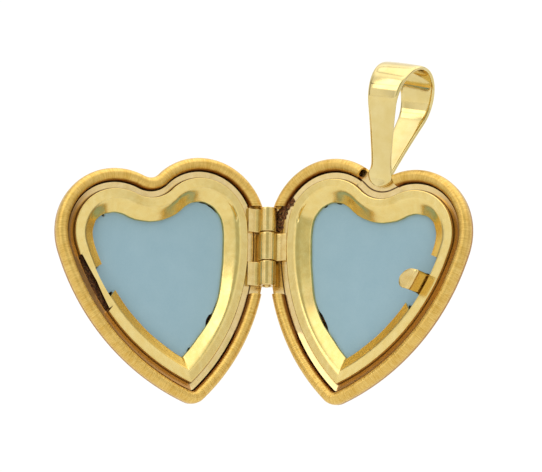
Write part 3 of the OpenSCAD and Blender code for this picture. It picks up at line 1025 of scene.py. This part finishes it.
def makeBail():
    # A strip along a drop: up from the foot, straight, over a circle, straight down behind to the foot
    low = cleftW - cleftR
    r = bail["deep"] / 2 - bail["thick"] / 2
    centre = np.array([bail["set"], low + bail["rise"] - bail["deep"] / 2])
    foot = np.array([flange["depth"] - bail["thick"] / 2, low + bail["rearUp"]])
    v = foot - centre
    reach, base = np.hypot(*v), np.arctan2(v[1], v[0])
    lean = np.arccos(r / reach)
    arc = np.linspace(base - lean, base + lean - 2 * np.pi, 90)
    ring = centre + r * np.stack([np.cos(arc), np.sin(arc)], -1)
    heel = np.array([foot[0], bail["footLow"]])
    rear = foot + np.array([bail["thick"] * 0.35, 0.05])
    frontPath, _ = densePath(roundedPath(np.stack([heel, foot, ring[0]]), bail["heelR"], 24), 0.04)
    loopPath, _ = densePath(np.concatenate([ring, [rear]]), 0.06)
    path = np.concatenate([frontPath[:-1], loopPath])
    run = profileRun(*path.T)
    normal = pathNormal(path)
    rise = np.clip((path[:, 1] - foot[1]) / (centre[1] + r - foot[1]), 0, 1)
    halfW = bail["neckHalf"] + (bail["crownHalf"] - bail["neckHalf"]) * rise ** bail["spread"]
    # The foot: a half circle, which narrows to the strip at the neck
    footR = bail["footHalf"] + 0.02
    curve = np.sqrt(np.clip(footR**2 - (footR - np.minimum(run + 0.02, footR)) ** 2, 0, None))
    neck = 1 / (1 + np.exp((run - bail["neckAt"]) / bail["neckBlend"]))
    footed = halfW + (np.minimum(curve, bail["footHalf"]) - halfW) * neck
    halfW = np.where(run < bail["footEnd"], footed, halfW)
    x = np.sin(np.linspace(-np.pi / 2, np.pi / 2, 31))
    body = np.sqrt(np.clip(1 - np.abs(x) ** 12, 0, 1)) * 0.9 + 0.1
    thick = bail["thick"] / 2 * body[None, :]
    crown = bail["crownBow"] * (1 - x**2)[None, :]

    def skin(sign):
        push = sign * thick + crown
        return np.stack(np.broadcast_arrays(halfW[:, None] * x, path[:, :1] + normal[:, :1] * push,
                                            path[:, 1:] + normal[:, 1:] * push), -1)

    points, faces = sheetParts(skin(1), skin(-1))[:2]
    obj = makeMesh("bail_loop", placeHalf("back", points), faces, smoothAngle=40)
    finishPiece(obj, "back", "bright_gold", [brightGold], "bail")


for side in ("back", "front"):
    makeBezel(side)
    makeShell(side)
    makeFrame(side)
    makeCard(side)
middleLow = hinge["top"] - hinge["endKnuckle"] - hinge["gap"] - hinge["middleKnuckle"]
endLong = hinge["endKnuckle"]
makeLeaf("upper_knuckle", "front", hinge["top"] - endLong, endLong, "front_upper_leaf")
makeLeaf("middle_knuckle", "back", middleLow, hinge["middleKnuckle"], "back_hinge_leaf")
makeLeaf("lower_knuckle", "front", middleLow - hinge["gap"] - endLong, endLong, "front_lower_leaf")
makeSolder()
makePin()
makeTongue()
makeBail()

# Camera, floor and light

camera = {
    "reach": 269.6,       # mm from the hinge
    "lens": 335.9,
    "turn": 29.524,       # degrees the back half is turned from the view
    "rise": -12.776,      # degrees over the hinge's own level
    "roll": 0.997,
    "aimRight": 0.187,    # mm from the hinge to the middle of the view
    "aimUp": 0.213,
}
turn, rise, roll = (np.radians(camera[k]) for k in ("turn", "rise", "roll"))


def fromStand(x, depth, z):
    # A direction in the hinge's frame to the shared frame
    return Vector((x * leanCos - z * leanSin, depth, x * leanSin + z * leanCos))


viewRight = fromStand(np.cos(turn), np.sin(turn), 0)
viewAhead = fromStand(-np.sin(turn) * np.cos(rise), np.cos(turn) * np.cos(rise), -np.sin(rise))
viewUp = fromStand(-np.sin(turn) * np.sin(rise), np.cos(turn) * np.sin(rise), np.cos(rise))
rolledRight = viewRight * np.cos(roll) + viewUp * np.sin(roll)
rolledUp = viewUp * np.cos(roll) - viewRight * np.sin(roll)
cameraAt = hingeAt - viewAhead * camera["reach"] * mm
target = hingeAt + rolledRight * camera["aimRight"] * mm + rolledUp * camera["aimUp"] * mm
aim = (target - cameraAt).normalized()
lookRight = aim.cross(rolledUp).normalized()
lookUp = lookRight.cross(aim)
cameraData = bpy.data.cameras.new("camera")
cameraData.lens = camera["lens"]
cameraData.clip_start, cameraData.clip_end = 0.01, 10
cameraObject = bpy.data.objects.new("camera", cameraData)
looking = Matrix((lookRight, lookUp, -aim)).transposed().to_4x4()
cameraObject.matrix_world = Matrix.Translation(cameraAt) @ looking
bpy.context.scene.collection.objects.link(cameraObject)
bpy.context.scene.camera = cameraObject

studio = {
    "floorAt": -0.055,
    "floorHalf": 0.6,
    "floorColour": (0.80, 0.80, 0.79),
    "white": (1.04, 1.04, 1.03),
    # brightness round the hinge axis: degrees from the camera's side, then the brightness from there on
    "left": [(0, 0.55), (14, 0.55), (30, 1.0), (38, 0.97), (46, 0.72), (52, 0.8), (60, 1.0), (73, 1.0),
             (80, 0.25), (86, 0.25), (96, 0.92), (140, 0.92), (155, 1.04)],
    "right": [(0, 0.55), (12, 0.55), (26, 1.0), (32, 0.97), (38, 0.72), (43, 0.8), (52, 1.0), (68, 1.0),
              (76, 0.25), (84, 0.25), (94, 0.92), (140, 0.92), (155, 1.04)],
    "patchTint": (0.95, 1.0, 0.84),
    "low": 0.75,          # below the table's line
    "high": 0.9,          # above the boxes
    "overhead": 1.7,
    "lineDark": 0.75,     # two thin lines at the boxes' edges
    "keyWatts": 0.25,
}


def makeFloor():
    half = studio["floorHalf"]
    mesh = bpy.data.meshes.new("floor")
    corners = [(-half, -half), (half, -half), (half, half), (-half, half)]
    mesh.from_pydata([(*corner, studio["floorAt"]) for corner in corners], [], [(0, 1, 2, 3)])
    floor = bpy.data.objects.new("floor", mesh)
    bpy.context.scene.collection.objects.link(floor)

    def build(b):
        cloud = b.noise(b.place(), 0.02, 2.0)
        pale = studio["floorColour"]
        return {"Base Color": b.mix(cloud, tuple(c * 0.97 for c in pale), pale), "Roughness": 0.9}

    mesh.materials.append(newFinish("floorPaper", build))


def makeWorld():
    # A tent of soft boxes round the hinge axis: brightness by the angle from the camera's side and the height
    world = bpy.data.worlds.new("studio")
    world.use_nodes = True
    bpy.context.scene.world = world
    b = Bench(world.node_tree)
    toward = b.add("ShaderNodeTexCoord").out("Generated")

    def along(axis):
        inputs = {0: toward, 1: tuple(axis)}
        return b.add("ShaderNodeVectorMath", {"operation": "DOT_PRODUCT"}, inputs).out("Value")

    right, near, up = along(viewRight), along(fromStand(np.sin(turn), -np.cos(turn), 0)), along(hingeAxis)
    yaw = right.maths("ARCTAN2", right, near) * np.degrees(1)
    height = up.maths("ARCSINE", up) * np.degrees(1)

    def boxes(angle, table):
        # What the table adds to its first brightness
        pairs = zip(table[:-1], table[1:])
        steps = [(two - one) * angle.ramp(a, c) for (a, one), (c, two) in pairs if one != two]
        return sum(steps[1:], steps[0])

    around = boxes(yaw, studio["right"]) + boxes(yaw * -1.0, studio["left"]) + studio["right"][0][1]
    low, high = height.ramp(-45, 2), height.ramp(26, 62)
    level = low * (1.0 - high)
    behind = near.ramp(-0.6, -0.8)
    light = around * level + studio["low"] * (1.0 - low) + studio["high"] * high
    lines = height.ramp(32, 33.4) * (1.0 - height.ramp(34.6, 36))
    lines = lines + height.ramp(64, 65.4) * (1.0 - height.ramp(67, 68.4))
    light = light * (1.0 - studio["lineDark"] * lines)
    light = light + (studio["overhead"] - studio["high"]) * along(Vector((0, 0, 1))).ramp(0.6, 0.9)
    patch = (1.0 - yaw.maths("ABSOLUTE", yaw).ramp(12, 32)) * level
    colour = b.mix(patch, (1, 1, 1), studio["patchTint"])
    colour = b.add("ShaderNodeVectorMath", {"operation": "SCALE"}, {0: colour, "Scale": light}).out("Vector")
    colour = b.mix(behind, colour, studio["white"])
    shader = b.add("ShaderNodeBackground", {}, {"Color": colour, "Strength": 1.0})
    b.add("ShaderNodeOutputWorld", {}, {"Surface": shader.out("Background")})


def makeLight(name, toward, distance, size, watts, tint):
    data = bpy.data.lights.new(name, "AREA")
    data.shape, data.size, data.size_y = "RECTANGLE", size[0], size[1]
    data.energy, data.color = watts, tint
    light = bpy.data.objects.new(name, data)
    light.location = Vector(toward).normalized() * distance
    light.rotation_euler = (-Vector(toward)).to_track_quat("-Z", "Y").to_euler()
    light.visible_camera = False
    bpy.context.scene.collection.objects.link(light)


makeFloor()
makeWorld()
leftFront = -viewRight * 0.75 - viewAhead * 0.55 + Vector((0, 0, 0.75))
makeLight("keyBox", leftFront, 0.45, (0.25, 0.25), studio["keyWatts"], (1, 0.97, 0.92))
bpy.context.scene.view_settings.view_transform = "Standard"
print("camera, floor and light made")
